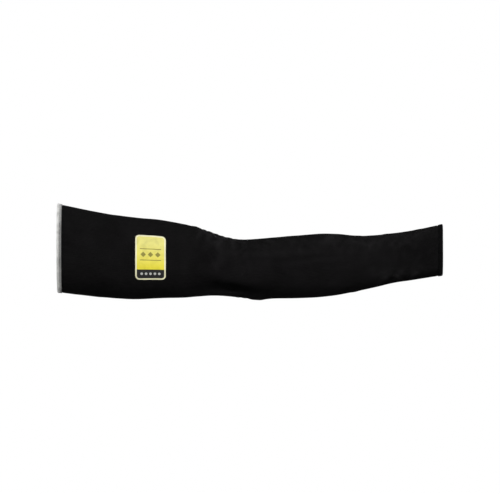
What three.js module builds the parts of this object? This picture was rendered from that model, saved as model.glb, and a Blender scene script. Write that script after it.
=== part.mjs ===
// A cut resistant arm sleeve in the form it has when worn: one knitted tube over a slightly bent arm,
// an overlocked binding round the edge of each opening, and a heat-pressed label on the outer side.
// Millimetres, +Z up. X runs from the upper arm opening to the wrist opening. The label faces -Y, the
// inner crease of the elbow is on top and its tip is below. The origin is the centre of the upper
// arm opening, in the plane of its bound edge.
import * as THREE from "three";

// Driving dimensions

const sleeveLength = 457; // over both bindings
const upperArm = { height: 105, width: 97 }; // the worn tube's outer size at the upper arm opening
const elbow = { height: 69, width: 82 };
const forearm = { height: 75, width: 80 };
const wrist = { height: 60, width: 47 };
const elbowDrop = 25; // how far the middle of the tube dips at the elbow
const wristShift = 6; // how far the wrist opening stands out towards the label's side
const sectionFullness = 2.2; // 2 is an ellipse, and more is a squarer section
const wall = 1.5; // knitted wall

// A full fold, which the table of folds shares out. sharpness sets how soon the ridge falls away, and
// hollows how deep the dip beside it is.
const fold = { length: 40, width: 6, height: 2, sharpness: 0.9, hollows: 0.7 };

const binding = { reach: 5.5, thickness: 0.6, edgeThickness: 1, softening: 0.25 };
const bindingGap = 0.3; // between a binding and the knitted edge inside it
const edgeSqueeze = 0.35; // how far a binding presses each face of the knit in
const edgeEase = 1.2; // the length over which the knit is full again behind a binding

const label = { width: 36, height: 54, thickness: 0.5, cornerRadius: 5 };
const labelCentre = 111; // from the upper arm opening
const labelFacing = 2; // degrees up from straight out
const labelGap = 0.3; // between the label and the knit

// How finely the surfaces are cut into facets

const facetsAround = 36;
const facetSteps = [
  { upTo: 0.33, step: 9.5 },
  { upTo: 0.6, step: 4.8 },
  { upTo: 1, step: 9.5 },
]; // upTo is a share of the sleeve's length, and step is in millimetres
const labelStep = 4.2;

// Sections of the worn tube. at is a share of the sleeve's length, height and width are shares of the
// size that the row follows, drop is a share of elbowDrop, and shift is a share of wristShift.
const sections = [
  { at: 0.0, follows: upperArm, height: 1.0, width: 1.0, drop: 0.0, shift: 0.0 },
  { at: 0.08, follows: upperArm, height: 0.966, width: 0.98, drop: 0.24, shift: 0.0 },
  { at: 0.143, follows: upperArm, height: 0.944, width: 0.96, drop: 0.4, shift: -0.05 },
  { at: 0.205, follows: upperArm, height: 0.921, width: 0.935, drop: 0.49, shift: -0.1 },
  { at: 0.268, follows: upperArm, height: 0.885, width: 0.905, drop: 0.53, shift: -0.15 },
  { at: 0.33, follows: upperArm, height: 0.827, width: 0.88, drop: 0.61, shift: -0.15 },
  { at: 0.361, follows: upperArm, height: 0.779, width: 0.868, drop: 0.66, shift: -0.13 },
  { at: 0.392, follows: elbow, height: 1.098, width: 1.02, drop: 0.745, shift: -0.1 },
  { at: 0.423, follows: elbow, height: 1.002, width: 1.01, drop: 0.88, shift: -0.05 },
  { at: 0.455, follows: elbow, height: 0.977, width: 1.01, drop: 0.962, shift: 0.0 },
  { at: 0.486, follows: elbow, height: 0.998, width: 1.025, drop: 0.98, shift: 0.05 },
  { at: 0.517, follows: elbow, height: 1.022, width: 1.025, drop: 0.976, shift: 0.1 },
  { at: 0.55, follows: forearm, height: 0.965, width: 1.045, drop: 0.96, shift: 0.15 },
  { at: 0.58, follows: forearm, height: 0.975, width: 1.035, drop: 0.93, shift: 0.2 },
  { at: 0.642, follows: forearm, height: 0.997, width: 1.0, drop: 0.87, shift: 0.32 },
  { at: 0.688, follows: forearm, height: 0.999, width: 0.95, drop: 0.81, shift: 0.42 },
  { at: 0.735, follows: forearm, height: 0.955, width: 0.89, drop: 0.78, shift: 0.53 },
  { at: 0.782, follows: forearm, height: 0.871, width: 0.82, drop: 0.735, shift: 0.64 },
  { at: 0.829, follows: wrist, height: 1.022, width: 1.25, drop: 0.62, shift: 0.74 },
  { at: 0.875, follows: wrist, height: 0.98, width: 1.15, drop: 0.47, shift: 0.83 },
  { at: 0.93, follows: wrist, height: 0.982, width: 1.055, drop: 0.32, shift: 0.91 },
  { at: 1.0, follows: wrist, height: 1.0, width: 1.0, drop: 0.09, shift: 1.0 },
];

// Folds and the elbow's tip. at is a share of the sleeve's length, facing is in degrees up from the
// label's side, turn is 0 for a fold that runs round the arm and 90 for one that runs along it, and
// length, width and height are shares of the full fold's. A hollow has a height below 0.
const folds = [
  { at: 0.5185, facing: -92, turn: 0, length: 0.5, width: 2.2, height: 1.15 }, // the elbow's tip
  { at: 0.372, facing: 62, turn: 16, length: 0.85, width: 0.75, height: 0.4 },
  { at: 0.398, facing: 70, turn: 10, length: 1.05, width: 0.85, height: 0.6 },
  { at: 0.425, facing: 78, turn: 4, length: 1.15, width: 0.85, height: 0.7 },
  { at: 0.452, facing: 70, turn: -6, length: 1.05, width: 0.85, height: 0.6 },
  { at: 0.479, facing: 66, turn: -14, length: 0.85, width: 0.85, height: 0.4 },
  { at: 0.384, facing: 118, turn: -14, length: 0.85, width: 0.8, height: 0.5 },
  { at: 0.412, facing: 116, turn: -6, length: 1.05, width: 0.85, height: 0.65 },
  { at: 0.44, facing: 114, turn: 4, length: 1.05, width: 0.85, height: 0.6 },
  { at: 0.468, facing: 120, turn: 12, length: 0.85, width: 0.85, height: 0.4 },
  { at: 0.425, facing: 12, turn: 34, length: 0.8, width: 1.1, height: 0.5 },
  { at: 0.468, facing: 2, turn: -30, length: 0.8, width: 1.1, height: 0.45 },
  { at: 0.44, facing: 176, turn: -30, length: 0.8, width: 1.1, height: 0.5 },
  { at: 0.42, facing: -56, turn: 84, length: 1.35, width: 1.0, height: 0.6 }, // under the elbow
  { at: 0.455, facing: -36, turn: 96, length: 1.2, width: 1.5, height: -0.6 },
  { at: 0.5, facing: -62, turn: 62, length: 0.7, width: 0.9, height: 0.5 },
  { at: 0.41, facing: -124, turn: 98, length: 1.2, width: 1.0, height: 0.55 },
  { at: 0.708, facing: 58, turn: 28, length: 0.6, width: 1.0, height: 0.35 }, // along the forearm
  { at: 0.742, facing: 64, turn: 20, length: 0.55, width: 1.0, height: -0.35 },
  { at: 0.845, facing: -48, turn: 34, length: 0.55, width: 1.0, height: 0.4 },
  { at: 0.885, facing: -52, turn: 28, length: 0.5, width: 1.0, height: 0.4 },
  { at: 0.925, facing: -50, turn: 22, length: 0.45, width: 1.0, height: 0.35 },
];

// The value of one column of the sections at a share of the length, on a smooth curve through the rows.
function sectionColumn(at, valueOf) {
  const last = sections.length - 1;
  const next = THREE.MathUtils.clamp(sections.findIndex((row) => row.at > at), 1, last);
  const i = at >= sections[last].at ? last : next;
  const slope = (k) => {
    const before = sections[Math.max(k - 1, 0)];
    const after = sections[Math.min(k + 1, last)];
    return (valueOf(after) - valueOf(before)) / (after.at - before.at);
  };
  const [low, high] = [sections[i - 1], sections[i]];
  const span = high.at - low.at;
  const t = THREE.MathUtils.clamp((at - low.at) / span, 0, 1);
  const [t2, t3] = [t * t, t * t * t];
  return (
    (2 * t3 - 3 * t2 + 1) * valueOf(low) +
    (t3 - 2 * t2 + t) * span * slope(i - 1) +
    (3 * t2 - 2 * t3) * valueOf(high) +
    (t3 - t2) * span * slope(i)
  );
}

function sectionAt(along) {
  const at = along / sleeveLength;
  return {
    halfHeight: sectionColumn(at, (row) => row.follows.height * row.height) / 2,
    halfWidth: sectionColumn(at, (row) => row.follows.width * row.width) / 2,
    middleY: -wristShift * sectionColumn(at, (row) => row.shift),
    middleZ: -elbowDrop * sectionColumn(at, (row) => row.drop),
  };
}

// How far the folds lift the surface at a place. A fold is a rounded ridge between two slight hollows.
function foldLift(along, angle) {
  let lift = 0;
  for (const row of folds) {
    const { halfHeight, halfWidth } = sectionAt(row.at * sleeveLength);
    const turned = angle - THREE.MathUtils.degToRad(row.facing);
    const round = Math.atan2(Math.sin(turned), Math.cos(turned)) * ((halfHeight + halfWidth) / 2);
    const ahead = along - row.at * sleeveLength;
    const turn = THREE.MathUtils.degToRad(row.turn);
    const onLine = (round * Math.cos(turn) + ahead * Math.sin(turn)) / (row.length * fold.length);
    const offLine = (ahead * Math.cos(turn) - round * Math.sin(turn)) / (row.width * fold.width);
    if (Math.abs(onLine) >= 1) continue;
    const away = offLine * offLine;
    const ridge = (1 - fold.hollows * away) * Math.exp(-fold.sharpness * away);
    lift += row.height * fold.height * ridge * (1 - onLine * onLine) ** 2;
  }
  return lift;
}

// A point of the worn sleeve. angle is measured up from the label's side, and outward is how far the
// point stands out from the knit's outer surface.
function sleevePoint(along, angle, outward) {
  const { halfHeight, halfWidth, middleY, middleZ } = sectionAt(along);
  const acrossShare = Math.abs(Math.cos(angle)) / halfWidth;
  const upShare = Math.abs(Math.sin(angle)) / halfHeight;
  const radius = (acrossShare ** sectionFullness + upShare ** sectionFullness) ** (-1 / sectionFullness);
  const reach = radius + foldLift(along, angle) + outward;
  return new THREE.Vector3(along, middleY - reach * Math.cos(angle), middleZ + reach * Math.sin(angle));
}

// Turns an outline once round, as a straight tube, and then bends that tube to the arm. The outline's
// points are [outward, along], and it closes on itself.
function turnedOnArm(outline) {
  const straightRadius = upperArm.height; // any radius wider than the outline is deep
  const points = [...outline, outline[0]].map(([outward, along]) => {
    return new THREE.Vector2(straightRadius + outward, along);
  });
  const geometry = new THREE.LatheGeometry(points, facetsAround);
  const position = geometry.getAttribute("position");
  for (let i = 0; i < position.count; i++) {
    const [x, along, z] = [position.getX(i), position.getY(i), position.getZ(i)];
    const place = sleevePoint(along, Math.atan2(-x, z), Math.hypot(x, z) - straightRadius);
    position.setXYZ(i, place.x, place.y, place.z);
  }
  geometry.computeVertexNormals();
  return geometry;
}

function knitMaterial() {
  return new THREE.MeshStandardMaterial({ color: 0x151516, roughness: 0.92, metalness: 0 });
}

function threadMaterial(color) {
  return new THREE.MeshStandardMaterial({ color, roughness: 0.8, metalness: 0 });
}

// Distances along the sleeve at which the knitted tube has a ring of corners.
function tubeStations(first, last) {
  const stations = [first];
  let from = first;
  for (const { upTo, step } of facetSteps) {
    const to = Math.min(upTo * sleeveLength, last);
    const count = Math.max(Math.round((to - from) / step), 1);
    for (let i = 1; i <= count; i++) stations.push(from + ((to - from) * i) / count);
    from = to;
  }
  return stations;
}

// The bindings wrap the knit's cut edges, and press them thinner.
function knittedTube() {
  const cutEdge = binding.edgeThickness + bindingGap;
  const squeezedTo = binding.reach + bindingGap;
  const fullFrom = squeezedTo + edgeEase;
  const full = tubeStations(fullFrom, sleeveLength - fullFrom).map((along) => ({ along, pressed: 0 }));
  const pressedEdge = [cutEdge, squeezedTo].map((along) => ({ along, pressed: edgeSqueeze }));
  const farEdge = pressedEdge.map((row) => ({ ...row, along: sleeveLength - row.along })).reverse();
  const stations = [...pressedEdge, ...full, ...farEdge];
  const outside = stations.map(({ along, pressed }) => [-pressed, along]);
  const inside = stations.map(({ along, pressed }) => [pressed - wall, along]).reverse();
  const tube = new THREE.Mesh(turnedOnArm([...outside, ...inside]), knitMaterial());
  tube.name = "knitted_tube";
  return tube;
}

// The binding's outline is a channel that holds the knit's edge. It is drawn from the opening inwards,
// and the wrist's is the mirror image of the upper arm's.
function edgeBinding(name, atWrist, color) {
  const { reach, thickness, edgeThickness, softening } = binding;
  const outerSeat = bindingGap - edgeSqueeze;
  const innerSeat = -wall - outerSeat;
  const outerFace = outerSeat + thickness;
  const innerFace = innerSeat - thickness;
  const channel = [
    [outerSeat, reach],
    [outerSeat, edgeThickness],
    [innerSeat, edgeThickness],
    [innerSeat, reach],
    [innerFace + softening, reach],
    [innerFace, reach - softening],
    [innerFace, softening],
    [innerFace + softening, 0],
    [outerFace - softening, 0],
    [outerFace, softening],
    [outerFace, reach - softening],
    [outerFace - softening, reach],
  ];
  const outline = atWrist
    ? channel.map(([outward, inset]) => [outward, sleeveLength - inset]).reverse()
    : channel;
  const bound = new THREE.Mesh(turnedOnArm(outline), threadMaterial(color));
  bound.name = name;
  return bound;
}

// A flat plate with rounded corners, bent round the arm just clear of the knit.
function pressedLabel() {
  const { width, height, thickness, cornerRadius } = label;
  const { halfHeight, halfWidth } = sectionAt(labelCentre);
  const meanRadius = (halfHeight + halfWidth) / 2;
  const straight = height / 2 - cornerRadius; // half of each side's straight stretch
  const across = Math.ceil(width / labelStep);
  const up = Math.ceil(height / labelStep);
  const geometry = new THREE.BoxGeometry(1, 2, thickness, across, up, 1);
  const position = geometry.getAttribute("position");
  for (let i = 0; i < position.count; i++) {
    const above = (height / 2) * Math.sin((Math.PI / 2) * position.getY(i)); // closer rows at the corners
    const intoCorner = Math.max(Math.abs(above) - straight, 0);
    const rounding = cornerRadius - Math.sqrt(Math.max(cornerRadius ** 2 - intoCorner ** 2, 0));
    const ahead = position.getX(i) * (width - 2 * rounding);
    const outward = labelGap + thickness / 2 + position.getZ(i);
    const angle = THREE.MathUtils.degToRad(labelFacing) + above / meanRadius;
    const place = sleevePoint(labelCentre + ahead, angle, outward);
    position.setXYZ(i, place.x, place.y, place.z);
  }
  geometry.computeVertexNormals();
  const material = new THREE.MeshStandardMaterial({ color: 0xe6dc4a, roughness: 0.55, metalness: 0 });
  const plate = new THREE.Mesh(geometry, material);
  plate.name = "pressed_label";
  return plate;
}

const sleeve = new THREE.Group();
sleeve.add(knittedTube());
sleeve.add(edgeBinding("upper_arm_binding", false, 0x9b9c98));
sleeve.add(edgeBinding("wrist_binding", true, 0x121213));
sleeve.add(pressedLabel());

export default sleeve;
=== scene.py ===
import math
import random
from functools import lru_cache

import bmesh
import bpy
from mathutils import Matrix, Vector, noise


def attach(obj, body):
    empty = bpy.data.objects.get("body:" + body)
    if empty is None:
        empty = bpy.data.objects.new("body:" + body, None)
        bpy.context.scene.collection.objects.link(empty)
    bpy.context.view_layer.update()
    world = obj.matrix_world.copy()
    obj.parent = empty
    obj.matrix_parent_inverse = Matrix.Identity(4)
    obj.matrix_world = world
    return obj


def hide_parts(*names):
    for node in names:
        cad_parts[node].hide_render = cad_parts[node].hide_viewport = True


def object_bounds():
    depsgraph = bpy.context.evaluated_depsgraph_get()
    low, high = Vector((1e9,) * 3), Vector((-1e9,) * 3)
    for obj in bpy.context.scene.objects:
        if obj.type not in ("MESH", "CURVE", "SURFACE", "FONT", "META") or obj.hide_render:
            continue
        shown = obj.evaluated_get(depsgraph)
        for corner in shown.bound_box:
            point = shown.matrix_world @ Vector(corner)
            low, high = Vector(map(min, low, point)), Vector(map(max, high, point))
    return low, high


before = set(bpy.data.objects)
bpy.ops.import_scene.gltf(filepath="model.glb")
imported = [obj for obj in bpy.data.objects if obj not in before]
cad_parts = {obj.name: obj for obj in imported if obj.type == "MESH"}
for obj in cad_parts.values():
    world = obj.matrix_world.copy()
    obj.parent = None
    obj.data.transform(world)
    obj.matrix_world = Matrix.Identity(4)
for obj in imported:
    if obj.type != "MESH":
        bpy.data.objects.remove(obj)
cadLow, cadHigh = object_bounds()
scene = bpy.context.scene
print("frame loaded:", ", ".join(sorted(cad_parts)))


# ---- camera and studio

studio = {
    "picture": 0.5935,  # width of the photo's frame at the sleeve, in metres
    "aim": (0.2285, 0.0, -0.0024),
    "lens": 500,  # millimetres: a long lens, because both ends of the sleeve look upright
    "sensor": 36,
    "clipEnd": 80,
    "floorHeight": -0.33,
    "floorRadius": 1.2,
    "floorSegments": 96,
    "floorFade": (0.35, 1.15),  # it fades into the backdrop between these distances
    "floorColor": (0.90, 0.90, 0.90),
    "floorGlow": 0.42,
    "floorRoughness": 0.9,
    "floorSpecular": 0.1,
    "backdrop": 1.0,  # brightness that the camera sees behind the sleeve
    "surround": 0.105,  # brightness that lights it
    # name: (place, aim, width, depth, watts)
    "lamps": {
        "keySoftbox": ((0.74, -1.35, 0.66), (0.30, 0.0, -0.02), 0.8, 0.26, 17),
        "leftSoftbox": ((-0.85, -1.55, 0.02), (0.15, 0.0, -0.02), 0.9, 0.5, 9.5),
        "rightSoftbox": ((1.30, -1.40, 0.0), (0.34, 0.0, -0.02), 0.8, 0.5, 13),
        "backLeftSoftbox": ((-0.65, 1.50, 0.10), (0.12, 0.0, -0.02), 0.9, 0.5, 18),
        "backRightSoftbox": ((1.15, 1.45, 0.10), (0.34, 0.0, -0.02), 0.9, 0.5, 18),
        "topSoftbox": ((0.42, 0.25, 0.9), (0.30, 0.0, 0.0), 0.7, 0.5, 1.7),
        # low lights beyond both ends, which reach into the openings
        "armEndSoftbox": ((-1.20, 0.12, 0.12), (0.0, 0.0, -0.01), 0.5, 0.5, 9),
        "wristEndSoftbox": ((1.60, 0.10, 0.10), (0.457, 0.0, -0.02), 0.4, 0.4, 5),
    },
}


def addCamera():
    camera = bpy.data.objects.new("camera", bpy.data.cameras.new("camera"))
    scene.collection.objects.link(camera)
    camera.data.lens = studio["lens"]
    camera.data.sensor_width = studio["sensor"]
    distance = studio["picture"] * studio["lens"] / studio["sensor"]
    camera.location = Vector(studio["aim"]) - Vector((0, distance, 0))
    camera.rotation_euler = (math.radians(90), 0, 0)
    camera.data.clip_end = studio["clipEnd"]
    scene.camera = camera


def addLamp(name, place, aim, width, depth, watts):
    lamp = bpy.data.lights.new(name, "AREA")
    lamp.shape = "RECTANGLE"
    lamp.size, lamp.size_y = width, depth
    lamp.energy = watts
    holder = bpy.data.objects.new(name, lamp)
    holder.location = place
    holder.rotation_euler = (Vector(aim) - Vector(place)).to_track_quat("-Z", "Y").to_euler()
    holder.visible_camera = False
    scene.collection.objects.link(holder)


def addSurround():
    world = bpy.data.worlds.new("studio")
    scene.world = world
    world.use_nodes = True
    tree = world.node_tree
    tree.nodes.clear()
    light = tree.nodes.new("ShaderNodeBackground")
    light.inputs["Strength"].default_value = studio["surround"]
    seen = tree.nodes.new("ShaderNodeBackground")
    seen.inputs["Strength"].default_value = studio["backdrop"]
    for background in (light, seen):
        background.inputs["Color"].default_value = (1, 1, 1, 1)
    rays = tree.nodes.new("ShaderNodeLightPath")
    mix = tree.nodes.new("ShaderNodeMixShader")
    output = tree.nodes.new("ShaderNodeOutputWorld")
    tree.links.new(rays.outputs["Is Camera Ray"], mix.inputs[0])
    tree.links.new(light.outputs[0], mix.inputs[1])
    tree.links.new(seen.outputs[0], mix.inputs[2])
    tree.links.new(mix.outputs[0], output.inputs["Surface"])


addCamera()
addSurround()
for lampName, lampSettings in studio["lamps"].items():
    addLamp(lampName, *lampSettings)
scene.view_settings.view_transform = "Standard"
print("camera and lamps placed")


# ---- node helpers

def addNode(tree, kind, **settings):
    node = tree.nodes.new(kind)
    for name, value in settings.items():
        setattr(node, name, value)
    return node


def feed(tree, target, value):
    if isinstance(value, bpy.types.NodeSocket):
        tree.links.new(value, target)
    elif target.type == "RGBA":
        target.default_value = (*value[:3], 1)
    else:
        target.default_value = value


def calc(tree, operation, *values, clamp=False):
    node = addNode(tree, "ShaderNodeMath", operation=operation, use_clamp=clamp)
    for target, value in zip(node.inputs, values):
        feed(tree, target, value)
    return node.outputs[0]


def mapValue(tree, value, fromLow, fromHigh, toLow, toHigh):
    node = addNode(tree, "ShaderNodeMapRange", clamp=True)
    for target, number in zip(node.inputs, (value, fromLow, fromHigh, toLow, toHigh)):
        feed(tree, target, number)
    return node.outputs[0]


def mixColors(tree, share, first, second, blend="MIX"):
    node = addNode(tree, "ShaderNodeMix", data_type="RGBA", blend_type=blend)
    feed(tree, node.inputs["Factor"], share)
    feed(tree, node.inputs["A"], first)
    feed(tree, node.inputs["B"], second)
    return node.outputs["Result"]


# A colour made lighter or darker by a value
def shadeColor(tree, color, shade):
    tone = addNode(tree, "ShaderNodeCombineColor")
    for target in tone.inputs:
        feed(tree, target, shade)
    return mixColors(tree, 1.0, color, tone.outputs[0], "MULTIPLY")


# The value of a mask, scaled and raised by the two numbers of a pair
def scaleAndRaise(tree, mask, pair):
    return calc(tree, "MULTIPLY_ADD", mask, *pair)


def splitPlace(tree, place):
    node = addNode(tree, "ShaderNodeSeparateXYZ")
    feed(tree, node.inputs[0], place)
    return node.outputs


def turnPlace(tree, place, degrees, scale=(1.0, 1.0, 1.0)):
    node = addNode(tree, "ShaderNodeMapping")
    feed(tree, node.inputs["Vector"], place)
    node.inputs["Rotation"].default_value = (0, 0, math.radians(degrees))
    node.inputs["Scale"].default_value = scale
    return node.outputs[0]


def startGroup(name, inputs, outputs):
    tree = bpy.data.node_groups.new(name, "ShaderNodeTree")
    for socketName, kind, value in inputs:
        socket = tree.interface.new_socket(name=socketName, in_out="INPUT", socket_type="NodeSocket" + kind)
        if value is not None:
            socket.default_value = value
    for socketName, kind in outputs:
        tree.interface.new_socket(name=socketName, in_out="OUTPUT", socket_type="NodeSocket" + kind)
    return tree, tree.nodes.new("NodeGroupInput").outputs, tree.nodes.new("NodeGroupOutput").inputs


# The height of a half circle, from how far a point is off its middle
def roundOver(tree, off):
    left = calc(tree, "SUBTRACT", 1.0, calc(tree, "MULTIPLY", off, off))
    return calc(tree, "SQRT", calc(tree, "MAXIMUM", left, 0.0))


def useGroup(tree, group, **values):
    node = addNode(tree, "ShaderNodeGroup", node_tree=group)
    for name, value in values.items():
        feed(tree, node.inputs[name], value)
    return node.outputs


stitch = {
    "leg": 0.25,  # half of a leg's width, as a share of a wale
    "loopRise": (0.6, 0.4),  # how much of a leg's height its rounding along the sleeve takes
    "gapRange": (0.15, 0.5),  # heights between which a gap fades out
}


# One V of a plain knit for each wale and course. Place holds the wale in x and the course in y.
def makeStitchGroup():
    tree, given, made = startGroup(
        "knitStitches",
        [("Place", "Vector", None), ("Lean", "Float", 0.9)],
        [("Height", "Float"), ("Gap", "Float")],
    )
    place = splitPlace(tree, given["Place"])
    wale = calc(tree, "FRACT", place["X"])
    fromMiddle = calc(tree, "ABSOLUTE", calc(tree, "SUBTRACT", wale, 0.5))
    offLeg = calc(tree, "DIVIDE", calc(tree, "SUBTRACT", fromMiddle, stitch["leg"]), stitch["leg"])
    course = calc(tree, "FRACT", calc(tree, "MULTIPLY_ADD", fromMiddle, given["Lean"], place["Y"]))
    offCourse = calc(tree, "MULTIPLY", calc(tree, "SUBTRACT", course, 0.5), 2.0)
    leg, loop = roundOver(tree, offLeg), roundOver(tree, offCourse)
    height = calc(tree, "MULTIPLY", leg, scaleAndRaise(tree, loop, stitch["loopRise"]))
    feed(tree, made["Height"], height)
    feed(tree, made["Gap"], mapValue(tree, height, *stitch["gapRange"], 1.0, 0.0))
    return tree


yarnLook = {
    "fuzzDetail": 3.0,
    "fuzzRoughness": 0.65,
    "patchDetail": 4.0,
    "patchDistortion": 0.6,
    "patchRange": (0.32, 0.68),
    "lintSize": 0.22,  # its noise scale, as a share of the fibres'
    "lintDetail": 2.0,
    "lintRange": (0.66, 0.78),
}


# The fuzz of spun yarn, flecks of lint, and slow patches of lighter and darker wear
def makeYarnGroup():
    tree, given, made = startGroup(
        "yarnFuzz",
        [("Place", "Vector", None), ("Fibres", "Float", 4500.0), ("Patches", "Float", 38.0)],
        [("Fuzz", "Float"), ("Patch", "Float"), ("Lint", "Float")],
    )

    def addNoise(scale, **settings):
        node = addNode(tree, "ShaderNodeTexNoise")
        feed(tree, node.inputs["Vector"], given["Place"])
        feed(tree, node.inputs["Scale"], scale)
        for name, value in settings.items():
            node.inputs[name].default_value = value
        return node.outputs["Fac"]

    look = yarnLook
    fuzz = addNoise(given["Fibres"], Detail=look["fuzzDetail"], Roughness=look["fuzzRoughness"])
    patch = addNoise(given["Patches"], Detail=look["patchDetail"], Distortion=look["patchDistortion"])
    lint = addNoise(calc(tree, "MULTIPLY", given["Fibres"], look["lintSize"]), Detail=look["lintDetail"])
    feed(tree, made["Fuzz"], fuzz)
    feed(tree, made["Patch"], mapValue(tree, patch, *look["patchRange"], 0.0, 1.0))
    feed(tree, made["Lint"], mapValue(tree, lint, *look["lintRange"], 0.0, 1.0))
    return tree


plyGapRange = (0.1, 0.6)  # heights between which the gap between two plies fades out


# The plies of a twisted thread. Place runs once round the thread in x, and along it in y.
def makePlyGroup():
    tree, given, made = startGroup(
        "threadPlies",
        [("Place", "Vector", None), ("Plies", "Float", 3.0)],
        [("Height", "Float"), ("Gap", "Float")],
    )
    place = splitPlace(tree, given["Place"])
    turned = calc(tree, "MULTIPLY_ADD", place["X"], given["Plies"], place["Y"])
    offPly = calc(tree, "MULTIPLY", calc(tree, "SUBTRACT", calc(tree, "FRACT", turned), 0.5), 2.0)
    height = roundOver(tree, offPly)
    feed(tree, made["Height"], height)
    feed(tree, made["Gap"], mapValue(tree, height, *plyGapRange, 1.0, 0.0))
    return tree


stitchGroup = makeStitchGroup()
yarnGroup = makeYarnGroup()
plyGroup = makePlyGroup()


sheenRoughness = 0.6


def startMaterial(name, roughness, specular, sheen=0.0):
    material = bpy.data.materials.new(name)
    material.use_nodes = True
    tree = material.node_tree
    shader = tree.nodes["Principled BSDF"]
    shader.inputs["Roughness"].default_value = roughness
    shader.inputs["Specular IOR Level"].default_value = specular
    shader.inputs["Sheen Weight"].default_value = sheen
    shader.inputs["Sheen Roughness"].default_value = sheenRoughness
    return material, tree, shader


def addBump(tree, shader, height, depth):
    bump = addNode(tree, "ShaderNodeBump")
    bump.inputs["Distance"].default_value = depth
    bump.inputs["Strength"].default_value = 1.0
    feed(tree, bump.inputs["Height"], height)
    feed(tree, shader.inputs["Normal"], bump.outputs["Normal"])


# ---- the worn form, which every piece follows

form = {
    "length": cadHigh.x - cadLow.x,
    "upperArm": (0.105, 0.097),  # height and width of the worn tube
    "elbow": (0.069, 0.082),
    "forearm": (0.075, 0.080),
    "wrist": (0.060, 0.047),
    "elbowDrop": 0.025,
    "wristShift": 0.006,
    "fullness": 2.2,
    "wall": 0.0015,
    "foldLength": 0.040,
    "foldWidth": 0.006,
    "foldHeight": 0.002,
    "foldSharpness": 0.9,
    "foldHollows": 0.7,
    "foldReach": 2.6,  # widths past which a fold has died out
    "seed": 18,
}

# share of the length, size that it follows, height, width, drop, shift
sections = [
    (0.0, "upperArm", 1.0, 1.0, 0.0, 0.0),
    (0.08, "upperArm", 0.966, 0.98, 0.24, 0.0),
    (0.143, "upperArm", 0.944, 0.96, 0.4, -0.05),
    (0.205, "upperArm", 0.921, 0.935, 0.49, -0.1),
    (0.268, "upperArm", 0.885, 0.905, 0.53, -0.15),
    (0.33, "upperArm", 0.827, 0.88, 0.61, -0.15),
    (0.361, "upperArm", 0.779, 0.868, 0.66, -0.13),
    (0.392, "elbow", 1.098, 1.02, 0.745, -0.1),
    (0.423, "elbow", 1.002, 1.01, 0.88, -0.05),
    (0.455, "elbow", 0.977, 1.01, 0.962, 0.0),
    (0.486, "elbow", 0.998, 1.025, 0.98, 0.05),
    (0.517, "elbow", 1.022, 1.025, 0.976, 0.1),
    (0.55, "forearm", 0.965, 1.045, 0.96, 0.15),
    (0.58, "forearm", 0.975, 1.035, 0.93, 0.2),
    (0.642, "forearm", 0.997, 1.0, 0.87, 0.32),
    (0.688, "forearm", 0.999, 0.95, 0.81, 0.42),
    (0.735, "forearm", 0.955, 0.89, 0.78, 0.53),
    (0.782, "forearm", 0.871, 0.82, 0.735, 0.64),
    (0.829, "wrist", 1.022, 1.25, 0.62, 0.74),
    (0.875, "wrist", 0.98, 1.15, 0.47, 0.83),
    (0.93, "wrist", 0.982, 1.055, 0.32, 0.91),
    (1.0, "wrist", 1.0, 1.0, 0.09, 1.0),
]

# share of the length, degrees up from the label's side, turn, and shares of a full fold's length, width
# and height
folds = [
    (0.5185, -92, 0, 0.5, 2.2, 1.15),  # the elbow's tip
    (0.372, 62, 16, 0.85, 0.75, 0.4),
    (0.398, 70, 10, 1.05, 0.85, 0.6),
    (0.425, 78, 4, 1.15, 0.85, 0.7),
    (0.452, 70, -6, 1.05, 0.85, 0.6),
    (0.479, 66, -14, 0.85, 0.85, 0.4),
    (0.384, 118, -14, 0.85, 0.8, 0.5),
    (0.412, 116, -6, 1.05, 0.85, 0.65),
    (0.44, 114, 4, 1.05, 0.85, 0.6),
    (0.468, 120, 12, 0.85, 0.85, 0.4),
    (0.425, 12, 34, 0.8, 1.1, 0.2),
    (0.468, 2, -30, 0.8, 1.1, 0.15),
    (0.44, 176, -30, 0.8, 1.1, 0.3),
    (0.56, 24, 90, 2.1, 0.8, 0.24),  # drawn along the sleeve
    (0.66, 8, 87, 1.5, 0.7, 0.16),
    (0.5, 170, 92, 1.6, 0.8, 0.2),
    (0.42, -56, 84, 1.35, 1.0, 0.6),  # under the elbow
    (0.455, -36, 96, 1.2, 1.5, -0.6),
    (0.5, -62, 62, 0.7, 0.9, 0.5),
    (0.41, -124, 98, 1.2, 1.0, 0.55),
    (0.708, 58, 28, 0.6, 1.0, 0.35),  # along the forearm
    (0.742, 64, 20, 0.55, 1.0, -0.35),
    (0.845, -48, 34, 0.55, 1.0, 0.4),
    (0.885, -52, 28, 0.5, 1.0, 0.4),
    (0.925, -50, 22, 0.45, 1.0, 0.35),
    (0.723, 44, 70, 0.2, 0.6, 0.3),  # small puckers
    (0.765, 46, 60, 0.22, 0.6, 0.2),
    (0.828, 42, 76, 0.25, 0.6, 0.22),
    (0.896, 33, 64, 0.2, 0.6, 0.22),
    (0.838, -30, 70, 0.22, 0.6, 0.28),
    (0.879, -46, 76, 0.2, 0.6, 0.3),
    (0.926, -52, 70, 0.2, 0.6, 0.3),
]

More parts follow.
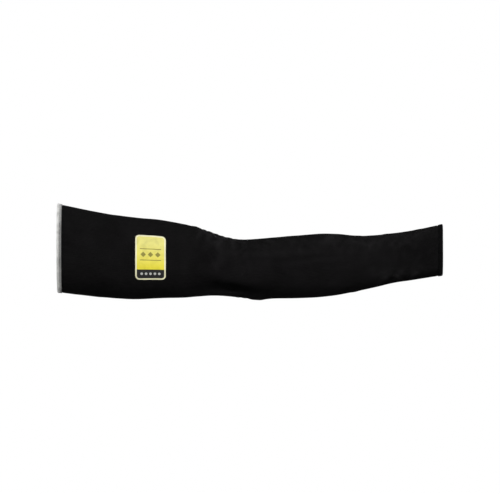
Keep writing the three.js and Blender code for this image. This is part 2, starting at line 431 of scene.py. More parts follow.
# Where fine wrinkles are strewn: how many, the shares of the length and the degrees that they lie between,
# their turn, and shares of a full fold's length, width and height
wrinklePatches = [
    (40, (0.35, 0.475), (30, 150), 55, (0.18, 0.32), (0.38, 0.54), (0.25, 0.55)),  # the inner crease
    (9, (0.46, 0.57), (-125, -55), 60, (0.22, 0.4), (0.45, 0.6), (0.12, 0.24)),  # round the elbow's tip
    (10, (0.4, 0.5), (150, 200), 50, (0.25, 0.4), (0.45, 0.6), (0.12, 0.24)),
    (8, (0.4, 0.5), (-15, 30), 50, (0.25, 0.4), (0.45, 0.6), (0.08, 0.16)),
    (26, (0.68, 0.975), (20, 70), 60, (0.16, 0.3), (0.45, 0.6), (0.12, 0.26)),  # the forearm's top
    (30, (0.76, 0.975), (-180, 180), 60, (0.18, 0.34), (0.45, 0.7), (0.1, 0.24)),  # the wrist
    (14, (0.03, 0.3), (-180, 180), 60, (0.3, 0.5), (0.6, 0.9), (0.05, 0.12)),  # the upper arm
    (26, (0.5, 0.74), (28, 76), 60, (0.18, 0.32), (0.5, 0.7), (0.14, 0.3)),  # behind the elbow
    (14, (0.8, 0.975), (28, 72), 60, (0.16, 0.28), (0.5, 0.65), (0.14, 0.28)),  # above the wrist
    (16, (0.5, 0.95), (110, 200), 60, (0.18, 0.32), (0.5, 0.7), (0.12, 0.26)),  # the far side
]

# Where the knit buckles into small crossed puckers: share of the length, degrees, how far the patch reaches
# in shares and degrees, and height
puckerPatches = [
    (0.402, 84, 0.034, 38, 0.00068),  # the inner crease
    (0.5, -100, 0.035, 24, 0.00030),  # the elbow's tip
    (0.76, 60, 0.045, 16, 0.00026),
    (0.9, 48, 0.045, 18, 0.00028),
    (0.885, -52, 0.055, 20, 0.00030),
    (0.86, 170, 0.06, 30, 0.00024),
]
puckers = {
    "pitchAlong": 0.0125,
    "pitchAround": 0.0145,
    "waver": 1.5,  # how far noise shifts them, in radians
    "waverScale": 42.0,
    "waverAround": 0.8,  # share of it that shifts them round the sleeve
    "diesOutAt": 6,  # squared distance from a patch's middle, in its own reach
    "gatherHeight": 0.00022,  # the bound edges draw the knit in slightly
    "gatherReach": 0.009,
    "gatherPitch": 0.0105,
    "gatherWaver": 2,
}


def onCurve(at, valueOf):
    last = len(sections) - 1
    high = next((i for i, row in enumerate(sections) if row[0] > at), last)
    high = max(high, 1)

    def slope(k):
        before, after = sections[max(k - 1, 0)], sections[min(k + 1, last)]
        return (valueOf(after) - valueOf(before)) / (after[0] - before[0])

    low, span = high - 1, sections[high][0] - sections[high - 1][0]
    t = min(max((at - sections[low][0]) / span, 0.0), 1.0)
    return (
        (2 * t**3 - 3 * t**2 + 1) * valueOf(sections[low])
        + (t**3 - 2 * t**2 + t) * span * slope(low)
        + (3 * t**2 - 2 * t**3) * valueOf(sections[high])
        + (t**3 - t**2) * span * slope(high)
    )


# Half the height, half the width, and the middle's y and z
@lru_cache(maxsize=None)
def sectionAt(along):
    at = along / form["length"]
    return (
        onCurve(at, lambda row: form[row[1]][0] * row[2]) / 2,
        onCurve(at, lambda row: form[row[1]][1] * row[3]) / 2,
        -form["wristShift"] * onCurve(at, lambda row: row[5]),
        -form["elbowDrop"] * onCurve(at, lambda row: row[4]),
    )


def meanRadius(along):
    halfHeight, halfWidth, _, _ = sectionAt(along)
    return (halfHeight + halfWidth) / 2


def strewWrinkles():
    strewn = []
    dice = random.Random(form["seed"])
    for count, (atLow, atHigh), (faceLow, faceHigh), turn, lengths, widths, heights in wrinklePatches:
        for _ in range(count):
            place = (dice.uniform(atLow, atHigh), dice.uniform(faceLow, faceHigh), dice.uniform(-turn, turn))
            strewn.append((*place, dice.uniform(*lengths), dice.uniform(*widths), dice.uniform(*heights)))
    return strewn


def shapeFold(at, facing, turn, length, width, height):
    angle = math.radians(turn)
    cosine, sine = math.cos(angle), math.sin(angle)
    foldLength, foldWidth = length * form["foldLength"], width * form["foldWidth"]
    return {
        "along": at * form["length"],
        "facing": math.radians(facing),
        "radius": meanRadius(at * form["length"]),
        "cos": cosine,
        "sin": sine,
        "length": foldLength,
        "width": foldWidth,
        "height": height * form["foldHeight"],
        "reach": foldLength * abs(sine) + form["foldReach"] * foldWidth * abs(cosine),
    }


foldShapes = [shapeFold(*row) for row in folds + strewWrinkles()]


# A fold is a rounded ridge between two slight hollows.
def foldLift(along, angle):
    lift = 0.0
    for fold in foldShapes:
        ahead = along - fold["along"]
        if abs(ahead) > fold["reach"]:
            continue
        turned = angle - fold["facing"]
        around = (turned - math.tau * round(turned / math.tau)) * fold["radius"]
        onLine = (around * fold["cos"] + ahead * fold["sin"]) / fold["length"]
        if abs(onLine) >= 1:
            continue
        away = ((ahead * fold["cos"] - around * fold["sin"]) / fold["width"]) ** 2
        ridge = (1 - form["foldHollows"] * away) * math.exp(-form["foldSharpness"] * away)
        lift += fold["height"] * ridge * (1 - onLine * onLine) ** 2
    return lift + puckerLift(along, angle)


def puckerLift(along, angle):
    length = form["length"]
    radius = meanRadius(along)
    waver = puckers["waver"] * noise.noise(plainPoint(along, angle) * puckers["waverScale"])
    ahead = math.tau * along / puckers["pitchAlong"] + waver
    lift = 0.0
    for middle, facing, shareReach, degreeReach, height in puckerPatches:
        turned = angle - math.radians(facing)
        turned -= math.tau * round(turned / math.tau)
        away = ((along / length - middle) / shareReach) ** 2 + (math.degrees(turned) / degreeReach) ** 2
        if away < puckers["diesOutAt"]:
            aside = math.tau * turned * radius / puckers["pitchAround"] + puckers["waverAround"] * waver
            lift += height * math.exp(-away) * math.cos(ahead) * math.cos(aside)
    edge = 0.0 if along < length / 2 else length
    drawn = puckers["gatherHeight"] * math.exp(-abs(along - edge) / puckers["gatherReach"])
    gathers = round(math.tau * meanRadius(edge) / puckers["gatherPitch"])
    return lift + drawn * math.cos(gathers * angle + puckers["gatherWaver"] * waver)


def sectionRadius(along, angle):
    halfHeight, halfWidth, _, _ = sectionAt(along)
    power = form["fullness"]
    acrossShare, upShare = abs(math.cos(angle)) / halfWidth, abs(math.sin(angle)) / halfHeight
    return (acrossShare**power + upShare**power) ** (-1 / power)


def plainPoint(along, angle):
    _, _, middleY, middleZ = sectionAt(along)
    reach = sectionRadius(along, angle)
    return Vector((along, middleY - reach * math.cos(angle), middleZ + reach * math.sin(angle)))


# angle is measured up from the label's side, and outward from the knit's outer surface
def sleevePoint(along, angle, outward, lift=None):
    _, _, middleY, middleZ = sectionAt(along)
    reach = sectionRadius(along, angle) + outward + (foldLift(along, angle) if lift is None else lift)
    return Vector((along, middleY - reach * math.cos(angle), middleZ + reach * math.sin(angle)))


# Angles that part a section into equal lengths, from underneath and round by the label's side
@lru_cache(maxsize=None)
def evenAngles(along, count, samples=96):
    marks = [-math.pi / 2 + math.tau * k / samples for k in range(samples + 1)]
    places = []
    for mark in marks:
        radius = sectionRadius(along, mark)
        places.append((radius * math.cos(mark), radius * math.sin(mark)))
    run = [0.0]
    for (y0, z0), (y1, z1) in zip(places, places[1:]):
        run.append(run[-1] + math.hypot(y1 - y0, z1 - z0))
    angles, k = [], 0
    for i in range(count + 1):
        wanted = run[-1] * i / count
        while k < samples - 1 and run[k + 1] < wanted:
            k += 1
        share = (wanted - run[k]) / (run[k + 1] - run[k])
        angles.append(marks[k] + (marks[k + 1] - marks[k]) * share)
    return angles


def girthAt(along, samples=96):
    places = [plainPoint(along, math.tau * k / samples) for k in range(samples + 1)]
    return sum((b - a).length for a, b in zip(places, places[1:]))


weldDistance = 1e-6  # corners nearer than this become one


def finishPiece(name, bm, materials, nodeName):
    mesh = bpy.data.meshes.new(name)
    bm.to_mesh(mesh)
    bm.free()
    mesh.shade_smooth()
    for material in materials:
        mesh.materials.append(material)
    piece = bpy.data.objects.new(name, mesh)
    scene.collection.objects.link(piece)
    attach(piece, "root")
    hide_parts(nodeName)
    print(name, "made:", len(mesh.polygons), "faces")
    return piece


# ---- the knitted tube

knit = {
    "wales": 132,
    "cornersPerWale": 3,
    "ridge": 0.00022,  # how high a wale stands
    "coursePitch": 0.00115,
    "cutEdge": 0.0013,  # the knit's edge, inside the overlock
    "pressedTo": 0.0061,
    "fullFrom": 0.0073,
    "pressed": 0.00035,
    # up to this share of the length, rows this far apart
    "rowSteps": [
        (0.055, 0.0013),
        (0.33, 0.0034),
        (0.49, 0.0012),
        (0.56, 0.0020),
        (0.945, 0.0026),
        (1.0, 0.0013),
    ],
    "insideStep": 0.0150,
    "insideRidge": 1 / 3,  # share of a wale's height that shows inside
    "slack": [(26.0, 0.00034), (75.0, 0.00016)],  # noise scale and height of the knit's unevenness
    "pressedSlack": 0.4,  # share of it at the bound edges
    "face": (0.0033, 0.0031, 0.0033),
    "gap": (0.0007, 0.0007, 0.0008),
    "lint": (0.024, 0.024, 0.025),
    "lintShare": 0.35,
    "roughness": 0.55,
    "specular": 0.037,
    "lean": 0.95,  # how steeply a stitch's legs lean, on the face and on the back
    "backLean": 0.35,
    "backScale": (0.5, 1.0, 1.0),
    "fibres": 5200.0,
    "patches": 34.0,
    "patchShade": (0.35, 0.82),
    "fuzzShade": (0.9, 0.55),
    "fuzzRoughness": (0.3, 0.7, 0.42, 0.66),
    "fuzzRise": 0.35,
    # painted shade darkens the fold hollows; the ridges are lighter, partly from wear and partly a painted
    # highlight
    "worn": (-0.42, 0.5, 0.15, 2.6),  # hollows and ridges between these lifts are darker and lighter
    "bump": 0.00035,
    "relaxedWidths": (0.115, 0.085),  # laid flat, at the upper arm and at the wrist
}


def rowsAlong():
    edge, pressedTo, full = knit["cutEdge"], knit["pressedTo"], knit["fullFrom"]
    length = form["length"]
    places = [edge, (edge + pressedTo) / 2, pressedTo, full]
    start = full
    for upTo, step in knit["rowSteps"]:
        stop = min(upTo * length, length - full)
        count = max(round((stop - start) / step), 1)
        places += [start + (stop - start) * (i + 1) / count for i in range(count)]
        start = stop
    places += [length - pressedTo, length - (edge + pressedTo) / 2, length - edge]
    outside = [(along, isPressed(along), False) for along in places]
    stops = [edge, pressedTo, full]
    count = round((length - 2 * full) / knit["insideStep"])
    stops += [full + (length - 2 * full) * (i + 1) / count for i in range(count)]
    stops += [length - pressedTo, length - edge]
    inside = [(along, isPressed(along), True) for along in reversed(stops)]
    return outside + inside


def isPressed(along):
    return min(along, form["length"] - along) < (knit["pressedTo"] + knit["fullFrom"]) / 2


def slackAt(place):
    return sum(noise.noise(place * scale) * height for scale, height in knit["slack"])


def buildTube():
    rows = rowsAlong()
    around = knit["wales"] * knit["cornersPerWale"]
    bm = bmesh.new()
    uvLayer = bm.loops.layers.uv.new("knitPlace")
    liftLayer = bm.verts.layers.float.new("foldLift")
    bmesh.ops.create_grid(bm, x_segments=around, y_segments=len(rows), size=1.0, calc_uvs=True)
    for vert in bm.verts:
        i = round((vert.co.x + 1) / 2 * around)
        along, pressed, isInside = rows[round((vert.co.y + 1) / 2 * len(rows)) % len(rows)]
        angle = -evenAngles(along, around)[i] - math.pi
        lift = foldLift(along, angle)
        lift += slackAt(plainPoint(along, angle)) * (knit["pressedSlack"] if pressed else 1.0)
        ridge = knit["ridge"] * (-0.5 if i % knit["cornersPerWale"] == 0 else 0.5)
        outward = -knit["pressed"] if pressed else ridge
        if isInside:
            outward = -form["wall"] + (knit["pressed"] if pressed else -ridge * knit["insideRidge"])
        vert[liftLayer] = lift / form["foldHeight"]
        vert.co = sleevePoint(along, angle, outward, lift)
    insideFrom = next(j for j, row in enumerate(rows) if row[2])
    for face in bm.faces:
        middle = sum(loop[uvLayer].uv.y for loop in face.loops) / 4 * len(rows)
        face.material_index = 1 if middle > insideFrom - 0.5 else 0
        for loop in face.loops:
            share, row = loop[uvLayer].uv
            along = rows[round(row * len(rows)) % len(rows)][0]
            loop[uvLayer].uv = (share * knit["wales"], along / knit["coursePitch"])
    bmesh.ops.remove_doubles(bm, verts=bm.verts, dist=weldDistance)
    return bm


def knitMaterial(name, isInside):
    material, tree, shader = startMaterial(name, knit["roughness"], knit["specular"])
    place = addNode(tree, "ShaderNodeUVMap", uv_map="knitPlace").outputs["UV"]
    where = addNode(tree, "ShaderNodeTexCoord").outputs["Object"]
    if isInside:  # the back of a plain knit shows rows of bars
        place = turnPlace(tree, place, 90, knit["backScale"])
    stitches = useGroup(tree, stitchGroup, Place=place, Lean=knit["backLean" if isInside else "lean"])
    yarn = useGroup(tree, yarnGroup, Place=where, Fibres=knit["fibres"], Patches=knit["patches"])
    lift = addNode(tree, "ShaderNodeAttribute", attribute_name="foldLift").outputs["Fac"]
    color = mixColors(tree, stitches["Gap"], knit["face"], knit["gap"])
    shade = scaleAndRaise(tree, yarn["Patch"], knit["patchShade"])
    # painted shade in the fold hollows, and ridges made lighter partly by wear and partly by a painted
    # highlight
    shade = calc(tree, "MULTIPLY", shade, mapValue(tree, lift, *knit["worn"]))
    shade = calc(tree, "MULTIPLY", shade, scaleAndRaise(tree, yarn["Fuzz"], knit["fuzzShade"]))
    color = shadeColor(tree, color, shade)
    color = mixColors(tree, calc(tree, "MULTIPLY", yarn["Lint"], knit["lintShare"]), color, knit["lint"])
    feed(tree, shader.inputs["Base Color"], color)
    feed(tree, shader.inputs["Roughness"], mapValue(tree, yarn["Fuzz"], *knit["fuzzRoughness"]))
    height = calc(tree, "MULTIPLY_ADD", yarn["Fuzz"], knit["fuzzRise"], stitches["Height"])
    addBump(tree, shader, height, knit["bump"])
    return material


tube = finishPiece(
    "sleeve_knit",
    buildTube(),
    [knitMaterial("blackKnit", False), knitMaterial("blackKnitBack", True)],
    "knitted_tube",
)


# ---- the overlocked edges

overlock = {
    "threadRadius": 0.00031,
    "pitch": 0.00118,  # from one stitch to the next
    "slant": 0.55,  # how many stitches a thread leans over the band's face
    "needleLine": 0.0054,
    "needleRadius": 0.00024,
    "edgeRadius": 0.00030,
    "edgeWobble": (0.00012, 0.00048),  # along the sleeve, and outward
    "edgeSteps": 6,
    "edgeMiddle": (0.00032, -0.00075),
    "jitter": 0.00018,
    "sway": 0.12,
    "crossing": 0.00008,  # the second thread lies this far under the first
    "onFace": 0.004,  # stops further from the edge than this vary
    "onBack": -0.0007,  # stops deeper than this lie inside the sleeve
    "sides": 6,
    "anglesPerStitch": 4,
    "fillingPerStitch": 2,  # rows of corners
    "fillingTurns": 2,  # how often the plies repeat round the filling
    # How far a stitch's stops lie from the edge, and outward from the knit, once round the band
    "stops": [
        (0.0052, -0.00020),
        (0.0048, 0.00014),
        (0.0042, 0.00032),
        (0.0027, 0.00037),
        (0.0011, 0.00030),
        (0.00036, -0.00018),
        (0.00030, -0.00075),
        (0.00036, -0.00132),
        (0.0011, -0.00180),
        (0.0029, -0.00188),
        (0.0047, -0.00175),
        (0.0052, -0.00100),
    ],
    # The fine filling threads lie under the stitches, in a channel round the knit's edge.
    "filling": [
        (0.0027, -0.00026),
        (0.0026, 0.00004),
        (0.0013, 0.00008),
        (0.0006, -0.00018),
        (0.00055, -0.00130),
        (0.0013, -0.00158),
        (0.0026, -0.00154),
        (0.0027, -0.00124),
        (0.0011, -0.00124),
        (0.0011, -0.00026),
    ],
    # share of the way from one stitch to the next, and outward
    "needleStops": [(0.0, -0.0004), (0.12, 0.00022), (0.35, 0.00048), (0.65, 0.00048), (0.88, 0.00022)],
    "plyPitch": 0.0011,
    "plies": 3.0,
    "fibres": 6500.0,
    "patches": 90.0,
    "gapShare": 0.75,
    "patchShade": (0.34, 0.80),
    "fuzzShade": (0.5, 0.75),
    "fuzzRoughness": (0.3, 0.7, 0.75, 0.95),
    "fuzzRise": 0.4,
    "bump": 0.00012,
    "roughness": 0.85,
    "lintedFrom": (0.0012, 0.0056),  # black lint from the knit darkens the grey thread between these insets
    "seed": 5,
}

# colour, colour between the plies, specular, sheen, and the share of its lightness that lint leaves it
threads = {
    "greyThread": ((0.71, 0.71, 0.695), (0.31, 0.31, 0.30), 0.12, 0.08, 0.28),
    "blackThread": ((0.0036, 0.0036, 0.0038), (0.0013, 0.0013, 0.0013), 0.05, 0.0, 1.0),
}


# A grid that closes on itself both ways, as a ring's skin does
def addRolledGrid(bm, across, along, placeAt, uvAt):
    uvLayer = bm.loops.layers.uv.verify()
    made = bmesh.ops.create_grid(bm, x_segments=across, y_segments=along, size=1.0, calc_uvs=True)
    for vert in made["verts"]:
        i, k = round((vert.co.x + 1) / 2 * across), round((vert.co.y + 1) / 2 * along)
        vert.co = placeAt(i % across, k % along)
    for face in {face for vert in made["verts"] for face in vert.link_faces}:
        for loop in face.loops:
            share, row = loop[uvLayer].uv
            loop[uvLayer].uv = uvAt(share, round(row * along))
    bmesh.ops.remove_doubles(bm, verts=made["verts"], dist=weldDistance)


# A closed thread along a path
def addThread(bm, path, radius):
    sides, count = overlock["sides"], len(path)
    ahead = [(path[(k + 1) % count] - path[k - 1]).normalized() for k in range(count)]
    side = [ahead[0].orthogonal().normalized()]
    for k in range(1, count + 1):
        direction = ahead[k % count]
        side.append((side[-1] - direction * side[-1].dot(direction)).normalized())
    turnBack = side[count].angle(side[0])
    if side[count].cross(side[0]).dot(ahead[0]) < 0:
        turnBack = -turnBack
    run = [0.0]
    for k in range(count):
        run.append(run[-1] + (path[(k + 1) % count] - path[k]).length)

    def placeAt(i, k):
        turned = Matrix.Rotation(turnBack * k / count + math.tau * i / sides, 3, ahead[k])
        return path[k] + turned @ side[k] * radius

    def uvAt(share, k):
        return 1 - share, run[k] / overlock["plyPitch"]

    addRolledGrid(bm, sides, count, placeAt, uvAt)


def buildOverlock(atWrist):
    length = form["length"]
    edge = length if atWrist else 0.0
    stitches = round(girthAt(edge) / overlock["pitch"])
    fine = overlock["anglesPerStitch"] * stitches
    even = evenAngles(edge, fine)
    dice = random.Random(overlock["seed"] + atWrist)

    def place(turn, inset, outward):
        spot = (turn % stitches) / stitches * fine
        k = int(spot)
        angle = even[k] + (even[min(k + 1, fine)] - even[k]) * (spot - k)
        along = length - inset if atWrist else inset
        slack = slackAt(plainPoint(along, angle)) * knit["pressedSlack"]
        return sleevePoint(along, angle, outward, foldLift(along, angle) + slack)

    bm = bmesh.new()
    bm.loops.layers.uv.new("threadPlace")
    for lean, rise in ((1, 0.0), (-1, -overlock["crossing"])):
        path = []
        for stitch in range(stitches):
            reach = dice.uniform(-1, 1) * overlock["jitter"]
            sway = dice.uniform(-overlock["sway"], overlock["sway"])
            for k, (inset, outward) in enumerate(overlock["stops"]):
                share = k / len(overlock["stops"])
                over = overlock["slant"] * math.sin(math.tau * share) * lean
                varied = reach if inset > overlock["onFace"] else 0
                sunk = rise if outward > overlock["onBack"] else -rise
                path.append(place(stitch + share + over + sway, inset + varied, outward + sunk))
        addThread(bm, path, overlock["threadRadius"])

    path = []
    steps = overlock["edgeSteps"]
    edgeInset, edgeOutward = overlock["edgeMiddle"]
    wobbleInset, wobbleOutward = overlock["edgeWobble"]
    for k in range(stitches * steps):
        wobble = math.tau * k / steps
        inset = edgeInset + wobbleInset * math.cos(wobble)
        path.append(place(k / steps, inset, edgeOutward + wobbleOutward * math.sin(wobble)))
    addThread(bm, path, overlock["edgeRadius"])

    filling = overlock["filling"] if atWrist else overlock["filling"][::-1]
    finePlaces = overlock["fillingPerStitch"] * stitches
    addRolledGrid(
        bm,
        len(filling),
        finePlaces,
        lambda i, k: place(k * stitches / finePlaces, *filling[i]),
        lambda share, k: (k * stitches / finePlaces, overlock["fillingTurns"] * share),
    )

    path = []
    pairs = stitches // 2
    for stitch in range(pairs):
        off = dice.uniform(-0.5, 0.5) * overlock["jitter"]
        for share, outward in overlock["needleStops"]:
            path.append(place((stitch + share) * stitches / pairs, overlock["needleLine"] + off, outward))
    addThread(bm, path, overlock["needleRadius"])
    return bm


def threadMaterial(name):
    colorOf, gapOf, specular, sheen, linted = threads[name]
    material, tree, shader = startMaterial(name, overlock["roughness"], specular, sheen)
    place = addNode(tree, "ShaderNodeUVMap", uv_map="threadPlace").outputs["UV"]
    where = addNode(tree, "ShaderNodeTexCoord").outputs["Object"]
    plies = useGroup(tree, plyGroup, Place=place, Plies=overlock["plies"])
    yarn = useGroup(tree, yarnGroup, Place=where, Fibres=overlock["fibres"], Patches=overlock["patches"])
    color = mixColors(tree, calc(tree, "MULTIPLY", plies["Gap"], overlock["gapShare"]), colorOf, gapOf)
    shade = scaleAndRaise(tree, yarn["Patch"], overlock["patchShade"])
    shade = calc(tree, "MULTIPLY", shade, scaleAndRaise(tree, yarn["Fuzz"], overlock["fuzzShade"]))
    inset = splitPlace(tree, where)["X"]
    shade = calc(tree, "MULTIPLY", shade, mapValue(tree, inset, *overlock["lintedFrom"], 1.0, linted))
    feed(tree, shader.inputs["Base Color"], shadeColor(tree, color, shade))
    feed(tree, shader.inputs["Roughness"], mapValue(tree, yarn["Fuzz"], *overlock["fuzzRoughness"]))
    height = calc(tree, "MULTIPLY_ADD", yarn["Fuzz"], overlock["fuzzRise"], plies["Height"])
    addBump(tree, shader, height, overlock["bump"])
    return material


upperEdge = finishPiece(
    "upper_arm_overlock",
    buildOverlock(False),
    [threadMaterial("greyThread")],
    "upper_arm_binding",
)
wristEdge = finishPiece(
    "wrist_overlock",
    buildOverlock(True),
    [threadMaterial("blackThread")],
    "wrist_binding",
)


# ---- the pressed label

label = {
    "width": 0.036,
    "height": 0.054,
    "cornerRadius": 0.005,
    "centre": 0.111,
    "facing": 2,
    "standsOff": 0.00008,
    "thickness": 0.0004,
    "cell": 0.0008,
    "perMetre": 1000,  # millimetres, which the print is drawn in
    "border": 1.8,
    "stripTop": -14.5,
    "stripSoftness": 0.1,
    "fadeRange": (17.0, -12.0),  # from the pale yellow down to the full one
    "lineHalf": (12.5, 0.4),
    "lineCorner": 0.35,
    "lineRises": (10.2, -3.2),
    # rise, pitch, count, half size, corner and turn of the marks in a row
    "lozenges": (3.5, 8.6, 3, 2.3, 0.3, 45),
    "dots": (-19.6, 5.2, 5, 1.5, 1.49, 0),
    "rowCorner": 0.1,
    "yellow": (0.75, 0.655, 0.042),
    "paleYellow": (0.73, 0.68, 0.20),
    "cream": (0.79, 0.76, 0.50),
    "olive": (0.17, 0.15, 0.02),
    "strip": (0.012, 0.012, 0.012),
    "grey": (0.60, 0.60, 0.58),
    "showsThrough": (0.05, 0.05, 0.035),
    "roughness": 0.5,
    "specular": 0.3,
    "fibres": 2600.0,
    "patches": 110.0,
    "stitchPitch": (1.15, 2.3),  # of the knit, which the film is pressed into
    "stitchLean": 0.95,
    "stitchShade": (0.14, 0.88),
    "worn": (0.55, 1.0, 0.0, 0.55),
    "patchShade": (-0.14, 1.0),
    "patchRoughness": (0.0, 1.0, 0.42, 0.62),
    "fuzzRise": 0.25,
    "bump": 0.00012,
    "rimRounding": 1 / 3,  # share of the thickness
    "rimSegments": 2,
    "rimAngle": 50,
}


def buildLabel():
    width, height, radius = label["width"], label["height"], label["cornerRadius"]
    across, up = round(width / label["cell"]), round(height / label["cell"])
    radiusThere = meanRadius(label["centre"])
    bm = bmesh.new()
    uvLayer = bm.loops.layers.uv.new("labelPlace")
    bmesh.ops.create_grid(bm, x_segments=across, y_segments=up, size=1.0, calc_uvs=False)
    for vert in bm.verts:
        above = height / 2 * math.sin(math.pi / 2 * vert.co.y)
        intoCorner = max(abs(above) - (height / 2 - radius), 0)
        rounding = radius - math.sqrt(max(radius**2 - intoCorner**2, 0))
        vert.co = (vert.co.x * (width / 2 - rounding), above, 0)
    for face in bm.faces:
        for loop in face.loops:
            loop[uvLayer].uv = loop.vert.co.xy * label["perMetre"]
    for vert in bm.verts:
        along = label["centre"] + vert.co.x
        angle = math.radians(label["facing"]) + vert.co.y / radiusThere
        slack = slackAt(plainPoint(along, angle))
        outward = label["standsOff"] + label["thickness"]
        vert.co = sleevePoint(along, angle, outward, foldLift(along, angle) + slack)
    return bm


# 1 inside a box of half the given size, and 0 outside it, with a soft edge
def makeBoxGroup():
    tree, given, made = startGroup(
        "softBox",
        [
            ("Place", "Vector", None),
            ("Middle", "Vector", (0.0, 0.0, 0.0)),
            ("Half", "Vector", (1.0, 1.0, 1.0)),
            ("Corner", "Float", 1.0),
            ("Softness", "Float", 0.15),
        ],
        [("Mask", "Float")],
    )
    moved = addNode(tree, "ShaderNodeVectorMath", operation="SUBTRACT")
    feed(tree, moved.inputs[0], given["Place"])
    feed(tree, moved.inputs[1], given["Middle"])
    folded = addNode(tree, "ShaderNodeVectorMath", operation="ABSOLUTE")
    feed(tree, folded.inputs[0], moved.outputs[0])
    spot, half = splitPlace(tree, folded.outputs[0]), splitPlace(tree, given["Half"])
    past = []
    for axis in ("X", "Y"):
        inner = calc(tree, "SUBTRACT", half[axis], given["Corner"])
        past.append(calc(tree, "MAXIMUM", calc(tree, "SUBTRACT", spot[axis], inner), 0.0))
    squares = calc(tree, "ADD", calc(tree, "POWER", past[0], 2.0), calc(tree, "POWER", past[1], 2.0))
    outside = calc(tree, "SUBTRACT", calc(tree, "SQRT", squares), given["Corner"])
    low = calc(tree, "MULTIPLY", given["Softness"], -1.0)
    feed(tree, made["Mask"], mapValue(tree, outside, low, given["Softness"], 1.0, 0.0))
    return tree


# A row of like marks, centred on the label
def markRow(tree, box, place, rise, pitch, count, half, corner, turn):
    spot = splitPlace(tree, place)
    own = addNode(tree, "ShaderNodeCombineXYZ")
    feed(tree, own.inputs["X"], calc(tree, "WRAP", spot["X"], pitch / 2, -pitch / 2))
    feed(tree, own.inputs["Y"], calc(tree, "SUBTRACT", spot["Y"], rise))
    turned = turnPlace(tree, own.outputs[0], turn)
    mark = useGroup(tree, box, Place=turned, Half=(half, half, 1), Corner=corner)["Mask"]
    row = useGroup(
        tree,
        box,
        Place=place,
        Middle=(0, rise, 0),
        Half=(count * pitch / 2, 2 * half, 1),
        Corner=label["rowCorner"],
    )["Mask"]
    return calc(tree, "MULTIPLY", mark, row)


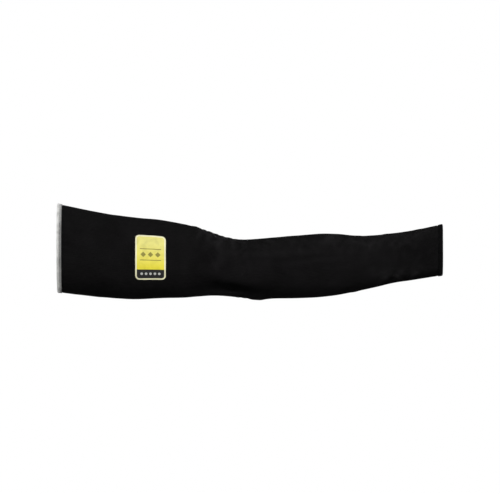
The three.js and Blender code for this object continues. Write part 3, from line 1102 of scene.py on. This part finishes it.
def labelMaterial():
    material, tree, shader = startMaterial("labelFilm", label["roughness"], label["specular"])
    place = addNode(tree, "ShaderNodeUVMap", uv_map="labelPlace").outputs["UV"]
    where = addNode(tree, "ShaderNodeTexCoord").outputs["Object"]
    box = makeBoxGroup()
    halfWidth, halfHeight, corner = (
        size * label["perMetre"] for size in (label["width"] / 2, label["height"] / 2, label["cornerRadius"])
    )
    rim = label["border"]
    field = useGroup(
        tree, box, Place=place, Half=(halfWidth - rim, halfHeight - rim, 1), Corner=corner - rim
    )["Mask"]
    rise = splitPlace(tree, place)["Y"]

    fade = mapValue(tree, rise, *label["fadeRange"], 0.0, 1.0)
    printed = mixColors(tree, fade, label["paleYellow"], label["yellow"])
    lineHalf, lineCorner = (*label["lineHalf"], 1), label["lineCorner"]
    for lineRise in label["lineRises"]:
        middle = (0, lineRise, 0)
        line = useGroup(tree, box, Place=place, Middle=middle, Half=lineHalf, Corner=lineCorner)["Mask"]
        printed = mixColors(tree, line, printed, label["olive"])
    printed = mixColors(tree, markRow(tree, box, place, *label["lozenges"]), printed, label["olive"])
    softEdge = label["stripSoftness"]
    strip = mapValue(tree, rise, label["stripTop"] + softEdge, label["stripTop"] - softEdge, 0.0, 1.0)
    printed = mixColors(tree, strip, printed, label["strip"])
    printed = mixColors(tree, markRow(tree, box, place, *label["dots"]), printed, label["grey"])
    color = mixColors(tree, field, label["cream"], printed)

    yarn = useGroup(tree, yarnGroup, Place=where, Fibres=label["fibres"], Patches=label["patches"])
    course, wale = label["stitchPitch"]
    turned = turnPlace(tree, place, 90, (1 / course, 1 / wale, 1.0))
    stitches = useGroup(tree, stitchGroup, Place=turned, Lean=label["stitchLean"])
    worn = mapValue(tree, yarn["Patch"], *label["worn"])
    color = mixColors(tree, calc(tree, "MULTIPLY", stitches["Gap"], worn), color, label["showsThrough"])
    shade = scaleAndRaise(tree, yarn["Patch"], label["patchShade"])
    shade = calc(tree, "MULTIPLY", shade, scaleAndRaise(tree, stitches["Height"], label["stitchShade"]))
    feed(tree, shader.inputs["Base Color"], shadeColor(tree, color, shade))
    feed(tree, shader.inputs["Roughness"], mapValue(tree, yarn["Patch"], *label["patchRoughness"]))
    height = calc(tree, "MULTIPLY_ADD", yarn["Fuzz"], label["fuzzRise"], stitches["Height"])
    addBump(tree, shader, height, label["bump"])
    return material


film = finishPiece("yellow_label", buildLabel(), [labelMaterial()], "pressed_label")
body = film.modifiers.new("filmThickness", "SOLIDIFY")
body.thickness = label["thickness"]
body.offset = -1
body.use_even_offset = True
soften = film.modifiers.new("filmEdge", "BEVEL")
soften.width = label["thickness"] * label["rimRounding"]
soften.segments = label["rimSegments"]
soften.limit_method = "ANGLE"
soften.angle_limit = math.radians(label["rimAngle"])

# ---- the floor

def addFloor():
    bm = bmesh.new()
    segments = studio["floorSegments"]
    bmesh.ops.create_circle(bm, cap_ends=True, segments=segments, radius=studio["floorRadius"])
    bmesh.ops.translate(bm, verts=bm.verts, vec=(studio["aim"][0], 0, studio["floorHeight"]))
    mesh = bpy.data.meshes.new("floor")
    bm.to_mesh(mesh)
    bm.free()
    material, tree, shader = startMaterial("paleFloor", studio["floorRoughness"], studio["floorSpecular"])
    feed(tree, shader.inputs["Base Color"], studio["floorColor"])
    shader.inputs["Emission Color"].default_value = (1, 1, 1, 1)
    shader.inputs["Emission Strength"].default_value = studio["floorGlow"]
    where = addNode(tree, "ShaderNodeTexCoord").outputs["Object"]
    away = addNode(tree, "ShaderNodeVectorMath", operation="DISTANCE")
    feed(tree, away.inputs[0], where)
    away.inputs[1].default_value = (studio["aim"][0], 0, studio["floorHeight"])
    fade = mapValue(tree, away.outputs["Value"], *studio["floorFade"], 1.0, 0.0)
    below = addNode(tree, "ShaderNodeNewGeometry").outputs["Backfacing"]
    feed(tree, shader.inputs["Alpha"], calc(tree, "MULTIPLY", fade, calc(tree, "SUBTRACT", 1.0, below)))
    mesh.materials.append(material)
    floor = bpy.data.objects.new("floor", mesh)
    floor.visible_diffuse = False
    floor.visible_glossy = False
    scene.collection.objects.link(floor)


addFloor()
print("floor laid")
